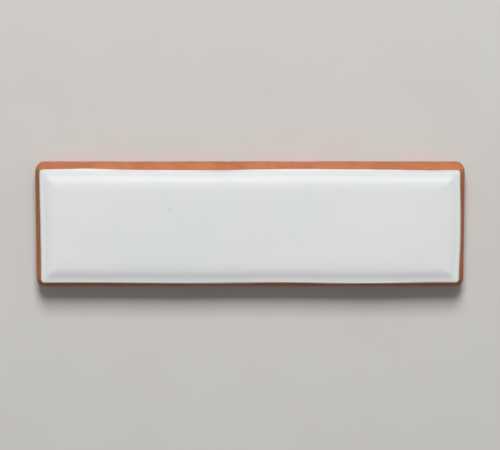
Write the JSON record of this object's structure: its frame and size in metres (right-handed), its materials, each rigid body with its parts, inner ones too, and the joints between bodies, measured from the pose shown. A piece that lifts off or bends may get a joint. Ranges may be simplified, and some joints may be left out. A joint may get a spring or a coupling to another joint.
{
  "type": "wall tile",
  "caption": "Oblong pressed clay wall tile with a white glazed face, soft bevels inside a flat lip, bare leaning shoulders and a grooved back that keys into adhesive.",
  "frame": {"origin": "centre of the back, on the plane of its ribs", "axes": "+X along the tile's length, +Y across it, +Z out of the glazed face"},
  "size_m": [0.24, 0.07, 0.016],
  "materials": {
    "glazed_clay": "white satin-gloss glaze on the face, bare red clay on the shoulders, sides and back"
  },
  "bodies": {
    "root": {"wall_tile": "glazed_clay"}
  },
  "joints": []
}
